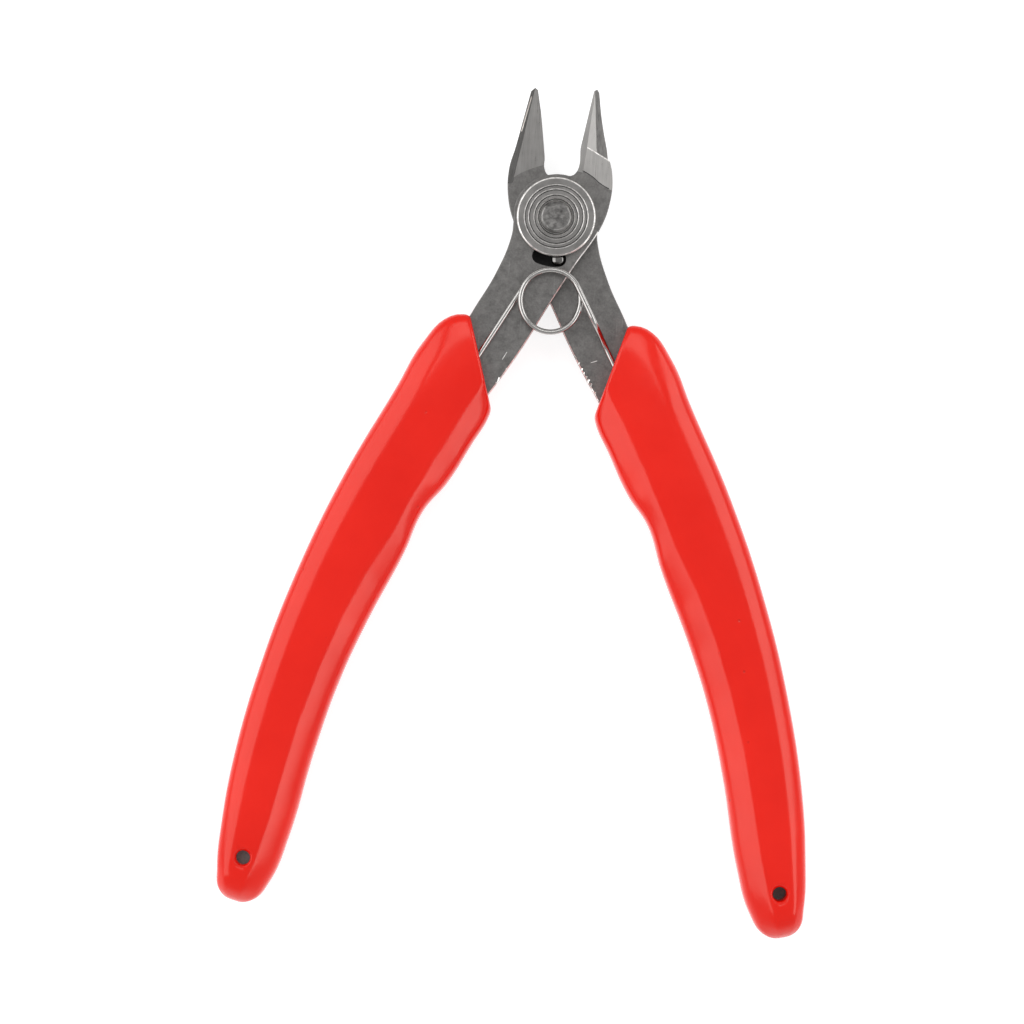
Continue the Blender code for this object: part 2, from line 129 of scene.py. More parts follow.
# Outlines of a closed half whose jaw is on the +X side, as in the CAD. A point is (x, y, "corner") where
# straight runs meet, or (x, y) where the outline curves on. The rear half is the mirror image.
FRONT_JAW = (
    (-0.08, 19.5, "corner"), (0.3, 19.85, "corner"), (0.72, 19.5, "corner"), (2.2, 15.9), (4.4, 11.5),
    (6.15, 8.3), (7.0, 4.0), (6.7, 0.2),
)
FRONT_THROAT = ((-0.9, 6.3), (0.5, 6.6), (1.0, 7.7), (0.45, 11.0, "corner"))
REAR_JAW = (
    (-0.4, 19.15, "corner"), (-0.08, 19.55, "corner"), (0.6, 19.2, "corner"), (2.12, 15.9),
    (4.15, 11.5), (5.7, 8.3), (6.5, 4.0), (6.2, 0.2),
)
REAR_THROAT = ((-0.9, 6.3), (0.1, 6.5), (0.5, 7.5), (0.15, 9.2), (-0.2, 10.6, "corner"))
TANG = (
    (4.65, -6.2), (2.8, -12.6), (1.1, -19.0), (-0.55, -24.2), (-1.9, -28.0), (-5.2, -38.0),
    (-9.0, -52.0), (-12.6, -70.0), (-14.0, -88.0), (-14.2, -104.5), (-16.3, -107.0), (-18.2, -104.5),
    (-18.8, -84.0), (-17.2, -60.0), (-13.6, -41.0), (-10.2, -27.5), (-7.7, -16.7), (-6.1, -10.5),
    (-5.5, -4.5),
)
EYE_RADIUS = 6.35
EYE_ARC = (math.radians(204.0), math.radians(108.0))
MOUTH = (Vector((-7.9, -17.6)), Vector((-1.5, -28.8)))
GRIP = (
    (-7.9, -17.5), (-4.2, -17.8), (-1.6, -21.5), (-1.2, -28.2), (-0.85, -30.3), (-2.2, -36.0),
    (-3.9, -42.2), (-6.1, -47.2), (-7.0, -54.0), (-9.2, -65.0), (-10.6, -75.0), (-11.1, -86.0),
    (-11.0, -99.0), (-11.8, -106.3), (-13.4, -109.6), (-16.0, -110.5), (-18.5, -109.6), (-19.9, -106.3),
    (-21.2, -99.8), (-22.3, -90.0), (-22.5, -76.0), (-21.4, -61.0), (-18.9, -45.5), (-15.2, -30.5),
    (-13.5, -23.4), (-10.8, -18.6),
)
GRIP_STEPS = 24
END_HOLE_RADIUS = 1.05 * MM
END_HOLE_FLARE = 0.35 * MM
END_HOLE_AT = Vector((-16.5, -103.7, 0.0)) * MM
POCKET_FROM_Y = -9 * MM
POCKET_CLEARANCE = 0.08 * MM
CHANNEL_CLEARANCE = 0.3 * MM

# A grip's section from its inner edge to its outer edge: (share of the width, share of the half depth).
SECTION = (
    (0.0, 0.16), (0.006, 0.44), (0.028, 0.64), (0.11, 0.775), (0.19, 0.895), (0.24, 0.945),
    (0.31, 0.975), (0.50, 1.0), (0.70, 0.99), (0.785, 0.95), (0.865, 0.86), (0.945, 0.765),
    (0.982, 0.62), (0.997, 0.40), (1.0, 0.16),
)
SECTION_RIDGE = 0.235
RIDGE_SHARES = (0.12, 0.42)
HALVINGS = 24
SPLINE_STEPS = 4
MOUTH_FULLNESS = 0.55
RIDGE_CURVE = (
    (-1.6, -14.0), (-2.5, -22.0), (-3.2, -27.4), (-4.5, -31.0), (-6.7, -38.4), (-9.3, -49.8),
    (-11.5, -57.8), (-12.9, -64.8), (-13.9, -72.9), (-14.5, -81.9), (-14.5, -89.3), (-14.4, -97.6),
    (-14.6, -104.0), (-15.5, -111.0),
)
# The mouth's rounded lip: (distance from the mouth, inset), in millimetres.
LIP = ((0.0, 0.42), (0.06, 0.24), (0.14, 0.15), (0.3, 0.07), (0.5, 0.015), (0.65, 0.0))
LIP_MARGIN = 1.3
MOUTH_THICKNESS = 0.86
MOUTH_THICKENS = (-3 * MM, 12 * MM)
FULL_MOUTH_LENGTH = 10 * MM
END_ROUND = 4.2 * MM
RING_STEP = 0.9 * MM
FINE_RINGS_FROM = 9 * MM
FINE_RING_SHARE = 0.32 / 3
FINEST_RING_STEP = 0.1 * MM

# The land of a jaw's outer face, the groove along its lower edge, and the grinding of the shearing face.
JAW_STEPS = 8
LAND_DEPTH = 0.13 * MM
LAND = (
    (-3.0, 8.6, "corner"), (0.2, 7.75), (1.69, 7.64), (3.4, 7.2), (4.8, 6.57), (6.44, 6.2),
    (9.0, 6.1, "corner"), (9.0, 22.0, "corner"), (-3.0, 22.0, "corner"),
)
SHEAR_DEPTH = 0.05 * MM
SHEAR = (
    (-3.0, 9.0, "corner"), (0.5, 8.1), (2.2, 7.85), (4.0, 7.45), (5.5, 6.85), (9.0, 5.6, "corner"),
    (9.0, 22.0, "corner"), (-3.0, 22.0, "corner"),
)
DIVIDE_DEPTH = 0.1 * MM
DIVIDE_WIDTH = 0.13 * MM
DIVIDE_SPANS = 5

# The lines that the ground facets start from, and the regions that they cover.
PAST_TIP = 22.0
STEP_LINE = ((1.18, 11.34), (4.71, 10.41))
STEP_REACH = ((-1.5, 12.05), (7.5, 9.67))
GLINT_WIDTH = 0.18
GLINT_OVERLAP = 0.02
RIDGE_LINE = ((0.45, 18.5), (2.94, 11.0))
FRONT_EDGE = ((0.23, 18.6), (1.3, 11.43))
REAR_EDGE = ((0.15, 18.6), (1.0, 11.43))
FLANK_LINE = ((0.62, 17.9), (5.2, 6.9))
FLASH_LINE = ((0.24, 19.1), (3.93, 11.4))
FLASH_WIDTH = 0.17
FLASH_FROM = 0.8
FLASH_TO = 6.2
EDGE_REGION = ((-3.0, 7.4), (2.6, 7.4), (2.6, PAST_TIP), (-3.0, PAST_TIP))
FLANK_REGION = ((-2.0, 6.2), (9.0, 6.2), (9.0, PAST_TIP), (-2.0, PAST_TIP))

# A facet's plane: its depths below the face at the two ends of its line, then the slope that it falls by
# on one side of that line, away from the middle of the jaw or towards the tip.
GLINT_PLANE = ((0.14, 0.14), 0.19)
FACE_PLANE = ((0.24, 0.24), 0.075)
OUTER_PLANES = {FRONT: ((0.78, 0.28), 0.7), REAR: ((0.78, 0.28), 0.3)}
EDGE_PLANE = ((0.8, 0.27), 2.1)
FLANK_PLANE = ((0.05, 0.05), 1.0)
FLASH_PLANE = ((0.45, 0.8), 0.62)

# Edges of a plate: the chamfer, the nicks along the tang, and a scratch: where it is, its turn and length.
EDGE_CHAMFER = 0.14 * MM
RUBBED_SLOPE = 0.2
NICKS = 14
NICK_SEEDS = {FRONT: 5, REAR: 9}
NICK_SPAN = (-28.5 * MM, -19.5 * MM)
NICK_SIDE = -4 * MM
NICK_SIZES = (0.14, 0.34)
NICK_LENGTHS = (1.5, 4.0)
NICK_TURNS = (25, 65)
NICK_LEANS = (-40, 40)
SCRATCHES = {
    FRONT: ((-1.3, -21.8), math.radians(75.0), 1.3 * MM),
    REAR: ((-2.15, -21.9), math.radians(8.0), 1.0 * MM),
}
SCRATCH_WIDTH = 0.1 * MM
SCRATCH_DEPTH = 0.03 * MM

# Lighter and darker grey of each ground surface of a jaw.
GROUND_GREYS = {
    "land": (0.46, 0.37),
    "shear": (0.30, 0.23),
    "facet": (0.44, 0.35),
    "bevel": (0.31, 0.23),
    # The flash strip's pale grey is painted highlight.
    "flash": (0.85, 0.70),
}
# The flank and outer facet greys are painted shade, darkest on the rear half.
FLANK_SHADE_GREYS = {FRONT: (0.24, 0.13), REAR: (0.12, 0.07)}
GRINDING_ANGLE = math.radians(6.0)

# A softbox: its name, place (x, y from the tool's middle, z), width along Y, height, and power in watts.
SOFTBOXES = (
    ("left softbox", (-0.5, 0.02, 0.42), 0.7, 0.58, 2.2),
    ("right softbox", (0.5, 0.02, 0.42), 0.7, 0.3, 1.5),
    ("top softbox", (0.0, 0.28, 0.72), 0.4, 0.2, 0.5),
)
# The light tent's level by height in the sky, from the horizon up.
TENT_LEVELS = ((0.0, 1.0), (0.3, 0.56), (0.95, 0.48))


class Shade:
    """One procedural material. Its methods add nodes and give their output. Scales are cells a metre."""

    def __init__(self, name, metallic=0.0, turn=0.0):
        self.material = bpy.data.materials.new(name)
        self.material.use_nodes = True
        self.tree = self.material.node_tree
        self.shader = self.tree.nodes["Principled BSDF"]
        self.shader.inputs["Metallic"].default_value = metallic
        self.place = self.tree.nodes.new("ShaderNodeTexCoord").outputs["Object"]
        self.turn = turn

    def feed(self, socket, value):
        if isinstance(value, bpy.types.NodeSocket):
            self.tree.links.new(value, socket)
        else:
            socket.default_value = value

    def set(self, name, value):
        self.feed(self.shader.inputs[name], value)

    def stretched(self, across, along):
        """Object coordinates turned about Z, then scaled to so many cells a metre across and along."""
        mapping = self.tree.nodes.new("ShaderNodeMapping")
        mapping.vector_type = "POINT"
        mapping.inputs["Rotation"].default_value = (0.0, 0.0, self.turn)
        mapping.inputs["Scale"].default_value = (across, along, across)
        self.feed(mapping.inputs["Vector"], self.place)
        return mapping.outputs["Vector"]

    def noise(self, scale, detail=2.0, roughness=0.5, place=None):
        node = self.tree.nodes.new("ShaderNodeTexNoise")
        node.inputs["Scale"].default_value = scale
        node.inputs["Detail"].default_value = detail
        node.inputs["Roughness"].default_value = roughness
        self.feed(node.inputs["Vector"], place or self.place)
        return node.outputs["Fac"]

    def pits(self, scale, radius):
        """1 in sparse round spots of a Voronoi pattern, 0 between them."""
        node = self.tree.nodes.new("ShaderNodeTexVoronoi")
        node.inputs["Scale"].default_value = scale
        self.feed(node.inputs["Vector"], self.place)
        return self.span(node.outputs["Distance"], radius, 0.0, 0.0, 1.0)

    def span(self, value, low, high, new_low=0.0, new_high=1.0):
        node = self.tree.nodes.new("ShaderNodeMapRange")
        node.clamp = True
        self.feed(node.inputs["Value"], value)
        node.inputs["From Min"].default_value = low
        node.inputs["From Max"].default_value = high
        node.inputs["To Min"].default_value = new_low
        node.inputs["To Max"].default_value = new_high
        return node.outputs["Result"]

    def math(self, operation, a, b):
        node = self.tree.nodes.new("ShaderNodeMath")
        node.operation = operation
        self.feed(node.inputs[0], a)
        self.feed(node.inputs[1], b)
        return node.outputs["Value"]

    def radius(self):
        """Distance from the pivot's axis, which is the object's own origin."""
        flat = self.tree.nodes.new("ShaderNodeVectorMath")
        flat.operation = "MULTIPLY"
        self.feed(flat.inputs[0], self.place)
        flat.inputs[1].default_value = (1.0, 1.0, 0.0)
        length = self.tree.nodes.new("ShaderNodeVectorMath")
        length.operation = "LENGTH"
        self.feed(length.inputs[0], flat.outputs["Vector"])
        return length.outputs["Value"]

    def rings(self, scale):
        """Noise that changes only with the distance from the pivot's axis: turning marks."""
        point = self.tree.nodes.new("ShaderNodeCombineXYZ")
        self.feed(point.inputs["X"], self.radius())
        return self.noise(scale, 3.0, 0.6, point.outputs["Vector"])

    def blend(self, share, first, second):
        node = self.tree.nodes.new("ShaderNodeMix")
        node.data_type = "RGBA"
        self.feed(node.inputs["Factor"], share)
        self.feed(node.inputs[6], first)
        self.feed(node.inputs[7], second)
        return node.outputs[2]

    def bump(self, height, distance, strength=1.0, normal=None):
        node = self.tree.nodes.new("ShaderNodeBump")
        node.inputs["Strength"].default_value = strength
        node.inputs["Distance"].default_value = distance
        self.feed(node.inputs["Height"], height)
        if normal is not None:
            self.feed(node.inputs["Normal"], normal)
        self.set("Normal", node.outputs["Normal"])
        return node.outputs["Normal"]


def grey(level, warmth=0.03):
    """A slightly warm grey."""
    return (level * (1 + warmth), level, level * (1 - warmth), 1.0)


def plate_steel():
    """Tumbled plate: mid grey, finely mottled, with a few faint scratches."""
    shade = Shade("plate_steel", metallic=1.0, turn=0.5)
    cloud = shade.noise(1000.0, 4.0, 0.65)
    grain = shade.noise(3600.0, 3.0, 0.65)
    mottle = shade.math("ADD", shade.math("MULTIPLY", cloud, 0.6), shade.math("MULTIPLY", grain, 0.4))
    scratch = shade.span(shade.noise(1.0, 1.0, 0.5, shade.stretched(2600.0, 90.0)), 0.68, 0.78)
    base = shade.blend(shade.span(mottle, 0.36, 0.64), grey(0.14), grey(0.225))
    shade.set("Base Color", shade.blend(shade.math("MULTIPLY", scratch, 0.2), base, grey(0.5)))
    shade.set("Roughness", shade.span(cloud, 0.3, 0.7, 0.36, 0.5))
    first = shade.bump(grain, 0.012 * MM)
    shade.bump(scratch, 0.004 * MM, normal=first)
    return shade.material


def ground_steel(name, light, dark, turn):
    """A ground facet: brighter, with fine grinding lines along the jaw."""
    shade = Shade(name, metallic=1.0, turn=turn)
    lines = shade.noise(1.0, 4.0, 0.7, shade.stretched(7000.0, 260.0))
    cloud = shade.noise(500.0, 2.0)
    share = shade.math("ADD", shade.math("MULTIPLY", lines, 0.7), shade.math("MULTIPLY", cloud, 0.3))
    shade.set("Base Color", shade.blend(shade.span(share, 0.35, 0.65), grey(dark), grey(light)))
    shade.set("Roughness", shade.span(lines, 0.3, 0.7, 0.26, 0.4))
    shade.bump(lines, 0.006 * MM)
    return shade.material


def painted_shade_steel():
    """Near-black steel, painted shade: it colours the jaw's dividing groove, the window's walls, the relief
    under the window and the disc's outward-looking faces.
    """
    shade = Shade("painted_shade_steel")
    cloud = shade.noise(900.0, 3.0, 0.6)
    shade.set("Base Color", shade.blend(shade.span(cloud, 0.35, 0.65), grey(0.010), grey(0.03)))
    shade.set("Roughness", shade.span(cloud, 0.3, 0.7, 0.35, 0.6))
    shade.set("Specular IOR Level", 0.25)
    shade.bump(cloud, 0.02 * MM)
    return shade.material


def worn_and_highlight_steel():
    """Edges rubbed bright, with darker spots where the tumbling didn't reach. It is also painted highlight
    on the jaw's glint strip and on the disc's inward-looking faces and rim.
    """
    shade = Shade("worn_and_highlight_steel", metallic=1.0)
    wear = shade.noise(1500.0, 3.0, 0.6)
    shade.set("Base Color", shade.blend(shade.span(wear, 0.35, 0.6), grey(0.55), grey(0.95)))
    shade.set("Roughness", shade.span(wear, 0.3, 0.7, 0.5, 0.32))
    shade.bump(wear, 0.01 * MM)
    return shade.material


def disc_steel():
    """Turned faces of the disc and the rivet's head."""
    shade = Shade("disc_steel", metallic=1.0)
    rings = shade.rings(16000.0)
    cloud = shade.noise(500.0, 3.0, 0.6)
    share = shade.math("ADD", shade.math("MULTIPLY", rings, 0.5), shade.math("MULTIPLY", cloud, 0.5))
    shade.set("Base Color", shade.blend(shade.span(share, 0.35, 0.65), grey(0.19), grey(0.29)))
    shade.set("Roughness", shade.span(cloud, 0.3, 0.7, 0.28, 0.4))
    shade.bump(rings, 0.003 * MM)
    return shade.material


def peened_steel():
    """The rivet's spun end: darker and blotched."""
    shade = Shade("peened_steel", metallic=1.0)
    blotch = shade.noise(900.0, 3.0, 0.6)
    grain = shade.noise(4000.0, 2.0)
    shade.set("Base Color", shade.blend(shade.span(blotch, 0.35, 0.62), grey(0.10), grey(0.25)))
    shade.set("Roughness", shade.span(grain, 0.3, 0.7, 0.3, 0.45))
    shade.bump(grain, 0.012 * MM)
    return shade.material


def wire_steel():
    """Bright drawn wire, faintly clouded."""
    shade = Shade("wire_steel", metallic=1.0)
    cloud = shade.noise(2200.0, 3.0, 0.6)
    shade.set("Base Color", shade.blend(shade.span(cloud, 0.3, 0.7), grey(0.42), grey(0.50)))
    shade.set("Roughness", shade.span(cloud, 0.3, 0.7, 0.12, 0.18))
    shade.bump(cloud, 0.001 * MM)
    return shade.material


def pin_steel():
    """The stop pin: dark, smooth steel that shows the lights as small points."""
    shade = Shade("pin_steel", metallic=1.0)
    stain = shade.noise(1400.0, 3.0, 0.6)
    shade.set("Base Color", shade.blend(shade.span(stain, 0.3, 0.7), grey(0.16), grey(0.26)))
    shade.set("Roughness", shade.span(stain, 0.3, 0.7, 0.06, 0.12))
    shade.bump(stain, 0.004 * MM)
    return shade.material


def vinyl():
    """Glossy red moulded vinyl: faint clouding, a soft orange peel, a few pits and specks."""
    shade = Shade("grip_vinyl")
    cloud = shade.noise(70.0, 3.0, 0.55)
    peel = shade.noise(900.0, 2.0, 0.5)
    pits = shade.pits(170.0, 0.05)
    body = shade.blend(shade.span(cloud, 0.3, 0.7), (0.76, 0.007, 0.002, 1.0), (0.84, 0.012, 0.005, 1.0))
    shade.set("Base Color", shade.blend(shade.math("MULTIPLY", pits, 0.5), body, (0.25, 0.008, 0.006, 1.0)))
    shade.set("Roughness", shade.span(shade.noise(260.0, 3.0, 0.6), 0.3, 0.7, 0.15, 0.22))
    shade.set("IOR", 1.5)
    shade.set("Specular Tint", (1.0, 0.84, 0.74, 1.0))
    peeled = shade.bump(peel, 0.010 * MM, 0.6)
    shade.bump(shade.math("SUBTRACT", 1.0, pits), 0.05 * MM, normal=peeled)
    return shade.material


def floor_finish():
    shade = Shade("studio_floor")
    cloud = shade.noise(6.0, 2.0)
    shade.set("Base Color", shade.blend(cloud, grey(0.48, 0.0), grey(0.50, 0.0)))
    shade.set("Roughness", 0.9)
    shade.set("Specular IOR Level", 0.0)
    shade.set("Emission Color", (1.0, 1.0, 1.0, 1.0))
    shade.set("Emission Strength", 0.75)
    return shade.material


def traced(points, steps=16):
    """Points round a closed outline in millimetres, as the CAD's curves run. The handles of a smooth point
    lie along its neighbours' directions, each as long as its side divided by 2.5614."""
    divisor = 2.5614
    places = [Vector((*point[:2], 0.0)) for point in points]
    handles = []
    for i, (here, point) in enumerate(zip(places, points)):
        back = here - places[i - 1]
        ahead = places[(i + 1) % len(places)] - here
        if point[-1] == "corner":
            handles.append((here - back / 3, here + ahead / 3))
            continue
        lean = back.normalized() + ahead.normalized()
        lean /= lean.length * divisor
        handles.append((here - lean * back.length, here + lean * ahead.length))
    outline = []
    for i, here in enumerate(places):
        after = (i + 1) % len(places)
        outline += interpolate_bezier(here, handles[i][1], handles[after][0], places[after], steps + 1)[:-1]
    return [Vector((p.x, p.y)) * MM for p in outline]


def arc(middle, radius, start, end, count):
    """Points round an arc from one angle to another, both ends included."""
    turns = [start + (end - start) * i / (count - 1) for i in range(count)]
    return [Vector((middle[0] + radius * math.cos(t), middle[1] + radius * math.sin(t))) for t in turns]


def blade_outline(side):
    jaw, throat = (FRONT_JAW, FRONT_THROAT) if side == FRONT else (REAR_JAW, REAR_THROAT)
    eye = [(p.x, p.y) for p in arc((0.0, 0.0), EYE_RADIUS, *EYE_ARC, 5)]
    return traced([*jaw, *TANG, *eye, *throat])


def mirrored(points, side):
    return [Vector((side * p.x, p.y)) for p in points]


def mesh_object(name, bm, material):
    bmesh.ops.recalc_face_normals(bm, faces=bm.faces)
    mesh = bpy.data.meshes.new(name)
    bm.to_mesh(mesh)
    bm.free()
    obj = bpy.data.objects.new(name, mesh)
    bpy.context.scene.collection.objects.link(obj)
    mesh.materials.append(material)
    return obj


def prism(name, points, low, high, material):
    """A prism over an outline. low and high are heights, or functions that give one for a point."""
    bm = bmesh.new()
    heights = [height if callable(height) else (lambda p, z=height: z) for height in (low, high)]
    rings = [[bm.verts.new((p.x, p.y, height(p))) for p in points] for height in heights]
    bm.faces.new(rings[0])
    bm.faces.new(rings[1])
    for i in range(len(points)):
        bm.faces.new((rings[0][i - 1], rings[0][i], rings[1][i], rings[1][i - 1]))
    return mesh_object(name, bm, material)


def inset_outline(points, distance):
    """The outline moved inwards. Points run counter-clockwise."""
    moved = []
    for i, here in enumerate(points):
        back = (here - points[i - 1]).normalized()
        ahead = (points[(i + 1) % len(points)] - here).normalized()
        inwards = Vector((-back.y - ahead.y, back.x + ahead.x)).normalized()
        lean = max(inwards.dot(Vector((-back.y, back.x))), 0.6)
        moved.append(here + inwards * distance / lean)
    return moved


def chamfered_plate(name, side, material, edge_material):
    """A half's plate, with both rims chamfered. The tang's inner edge is rubbed bright."""
    points = mirrored(blade_outline(side), side)
    low, high = PLATE_HEIGHTS[side]
    area = sum(a.cross(b) for a, b in zip(points, points[1:] + points[:1]))
    if area < 0:
        points = points[::-1]
    inner = inset_outline(points, EDGE_CHAMFER)
    bm = bmesh.new()
    heights = ((inner, low), (points, low + EDGE_CHAMFER), (points, high - EDGE_CHAMFER), (inner, high))
    rings = [[bm.verts.new((p.x, p.y, z)) for p in outline] for outline, z in heights]
    bm.faces.new(rings[0])
    bm.faces.new(rings[-1])
    for lower, upper in zip(rings, rings[1:]):
        for i in range(len(points)):
            face = bm.faces.new((lower[i - 1], lower[i], upper[i], upper[i - 1]))
            run = points[i] - points[i - 1]
            rubbed = points[i].y < 0.0 and run.y * side > RUBBED_SLOPE * run.length
            face.material_index = 1 if rubbed and lower is not rings[1] else 0
    plate = mesh_object(name, bm, material)
    plate.data.materials.append(edge_material)
    return plate


def turned(name, profile, material, steps=128, closed=False, smooth_angle=28.0):
    """A body turned about Z from (radius, z) points that run down its outer side."""
    bm = bmesh.new()
    verts = [bm.verts.new((radius, 0.0, z)) for radius, z in profile]
    for upper, lower in zip(verts, verts[1:]):
        bm.edges.new((upper, lower))
    if closed:
        bm.edges.new((verts[-1], verts[0]))
    bmesh.ops.spin(
        bm,
        geom=bm.verts[:] + bm.edges[:],
        cent=(0, 0, 0),
        axis=(0, 0, 1),
        angle=2 * math.pi,
        steps=steps,
        use_merge=True,
    )
    bmesh.ops.remove_doubles(bm, verts=bm.verts, dist=0.0002 * MM)
    obj = mesh_object(name, bm, material)
    smooth(obj, smooth_angle)
    return obj


def smooth(obj, angle):
    obj.data.shade_smooth()
    obj.data.set_sharp_from_angle(angle=math.radians(angle))


def open_up(obj, side):
    """Turns a half that was drawn closed about the pivot to where it stands in the open tool."""
    obj.data.transform(Matrix.Rotation(-side * OPEN_HALF_ANGLE, 4, "Z"))


def subtract(obj, cutter):
    modifier = obj.modifiers.new(cutter.name, "BOOLEAN")
    modifier.operation = "DIFFERENCE"
    modifier.solver = "MANIFOLD"
    modifier.material_mode = "TRANSFER"
    modifier.object = cutter
    return cutter


def apply_modifiers(obj, cutters=()):
    """Bakes the modifiers into the mesh, and removes the cutters that they used."""
    bpy.context.view_layer.update()
    graph = bpy.context.evaluated_depsgraph_get()
    made = bpy.data.meshes.new_from_object(obj.evaluated_get(graph))
    obj.modifiers.clear()
    obj.data = made
    for cutter in cutters:
        bpy.data.objects.remove(cutter, do_unlink=True)


def plane_height(line, plane, face_z, up, towards):
    """Height of a facet's plane as a function of a point: it holds the line at the plane's depths below
    the face, and falls by its slope for each unit of distance towards the given side of the line."""
    depths, slope = plane
    start, end = (Vector(p) * MM for p in line)
    along = (end - start).normalized()
    sideways = Vector((-along.y, along.x))
    if sideways.dot(Vector(towards)) < 0:
        sideways.negate()
    length = (end - start).length

    def height(p):
        share = (p - start).dot(along) / length
        depth = (depths[0] + (depths[1] - depths[0]) * share) * MM + slope * (p - start).dot(sideways)
        return face_z - up * depth

    return height


def facet(name, region, line, plane, face, towards, side, material):
    """The block that a ground facet takes away from a face, over a region given in millimetres. The face
    is its height and which way is out of it."""
    face_z, up = face
    height = plane_height(line, plane, face_z, up, towards)
    points = [Vector(p) * MM for p in region]
    lows = {(p.x * side, p.y): height(p) for p in points}
    beyond = up * (max(up * height for height in (face_z, *lows.values())) + MM)
    return prism(name, mirrored(points, side), lambda p: lows[(p.x, p.y)], beyond, material)


def jaw_cutters(name, side, steels):
    """Every ground surface of one jaw: the outer face's land, facets and cutting bevel, and the lighter
    grinding of the face that shears past the other half."""
    outer_z, shear_z = (FRONT_FACE_Z, FRONT_PLATE_Z) if side == FRONT else (REAR_PLATE_Z, REAR_FACE_Z)
    edge_line = FRONT_EDGE if side == FRONT else REAR_EDGE
    up = side
    tip, outwards, inwards = (0.0, 1.0), (1.0, 0.3), (-1.0, 0.0)

    def outer_facet(label, region, line, plane, towards, steel):
        return facet(f"{name} {label}", region, line, plane, (outer_z, up), towards, side, steels[steel])

    def shear_facet(label, region, line, plane, steel):
        return facet(f"{name} {label}", region, line, plane, (shear_z, -up), outwards, side, steels[steel])

    (left, left_y), (right, right_y) = STEP_REACH
    above_step = (*STEP_REACH, (right, PAST_TIP), (left, PAST_TIP))
    below_step = (
        (left, left_y - GLINT_WIDTH),
        (right, right_y - GLINT_WIDTH),
        (right, right_y + GLINT_OVERLAP),
        (left, left_y + GLINT_OVERLAP),
    )
    glint_line = [(x, y - GLINT_WIDTH) for x, y in STEP_LINE]
    start, end = (Vector(p) for p in FLASH_LINE)
    along = (end - start).normalized()
    by_flash = [
        start + along * far + Vector((-along.y, along.x)) * FLASH_WIDTH * way
        for far, way in ((FLASH_FROM, 0), (FLASH_TO, 0), (FLASH_TO, 1), (FLASH_FROM, 1))
    ]
    land = traced(LAND, JAW_STEPS)
    divide = land[: DIVIDE_SPANS * JAW_STEPS]
    groove = divide + [p + Vector((0.0, DIVIDE_WIDTH)) for p in reversed(divide)]
    land_z = outer_z - up * LAND_DEPTH
    divide_z = land_z - up * DIVIDE_DEPTH
    clear_z = outer_z + up * MM
    shear = mirrored(traced(SHEAR, JAW_STEPS), side)
    cutters = [
        prism(f"{name} land", mirrored(land, side), land_z, clear_z, steels["land"]),
        # The dividing groove takes the near-black steel: painted shade along the groove.
        prism(f"{name} divide", mirrored(groove, side), divide_z, clear_z, steels["painted_shade"]),
        prism(f"{name} shear", shear, shear_z + up * SHEAR_DEPTH, shear_z - up * MM, steels["shear"]),
        # The glint strip takes the bright edge steel: painted highlight along the step.
        outer_facet("glint", below_step, glint_line, GLINT_PLANE, tip, "edge"),
        outer_facet("face", above_step, STEP_LINE, FACE_PLANE, tip, "facet"),
        outer_facet("outer", above_step, RIDGE_LINE, OUTER_PLANES[side], outwards, "flank"),
        outer_facet("edge", EDGE_REGION, edge_line, EDGE_PLANE, inwards, "bevel"),
        shear_facet("flank", FLANK_REGION, FLANK_LINE, FLANK_PLANE, "flank"),
    ]
    if side == REAR:
        cutters.append(shear_facet("flash", by_flash, FLASH_LINE, FLASH_PLANE, "flash"))
    return cutters


def nick_cutters(name, side, steel):
    """Small notches along the tang's inner edge, where the plate has been knocked."""
    chance = random.Random(NICK_SEEDS[side])
    edge = [p for p in blade_outline(side) if NICK_SPAN[0] < p.y < NICK_SPAN[1] and p.x > NICK_SIDE]
    face_z = PLATE_HEIGHTS[side][1]
    cutters = []
    for i in range(NICKS):
        at = chance.choice(edge)
        size = chance.uniform(*NICK_SIZES) * MM
        bm = bmesh.new()
        turn = Matrix.Rotation(math.radians(chance.uniform(*NICK_TURNS)), 4, "Y")
        lean = Matrix.Rotation(math.radians(chance.uniform(*NICK_LEANS)), 4, "Z")
        place = Matrix.Translation((side * at.x, at.y, face_z)) @ lean @ turn
        stretch = Matrix.Diagonal((size, size * chance.uniform(*NICK_LENGTHS), size, 1.0))
        bmesh.ops.create_cube(bm, size=1.0, matrix=place @ stretch)
        cutters.append(mesh_object(f"{name} nick {i}", bm, steel))
    (x, y), turn, length = SCRATCHES[side]
    bm = bmesh.new()
    place = Matrix.Translation((side * x * MM, y * MM, face_z)) @ Matrix.Rotation(turn, 4, "Z")
    stretch = Matrix.Diagonal((length, SCRATCH_WIDTH, SCRATCH_DEPTH * 2, 1.0))
    bmesh.ops.create_cube(bm, size=1.0, matrix=place @ stretch)
    cutters.append(mesh_object(f"{name} scratch", bm, steel))
    return cutters


def orbit_slot(first, last, half_width):
    """A slot along the stop pin's orbit, with round ends. Angles are turned from straight down."""
    first -= math.pi / 2
    last -= math.pi / 2
    first_middle, last_middle = (
        (PIN_ORBIT * math.cos(turn), PIN_ORBIT * math.sin(turn)) for turn in (first, last)
    )
    outline = [
        *arc((0.0, 0.0), PIN_ORBIT + half_width, first, last, SLOT_POINTS)[:-1],
        *arc(last_middle, half_width, last, last + math.pi, SLOT_POINTS)[:-1],
        *arc((0.0, 0.0), PIN_ORBIT - half_width, last, first, SLOT_POINTS)[:-1],
        *arc(first_middle, half_width, first + math.pi, first + 2 * math.pi, SLOT_POINTS)[:-1],
    ]
    return [p * MM for p in outline]


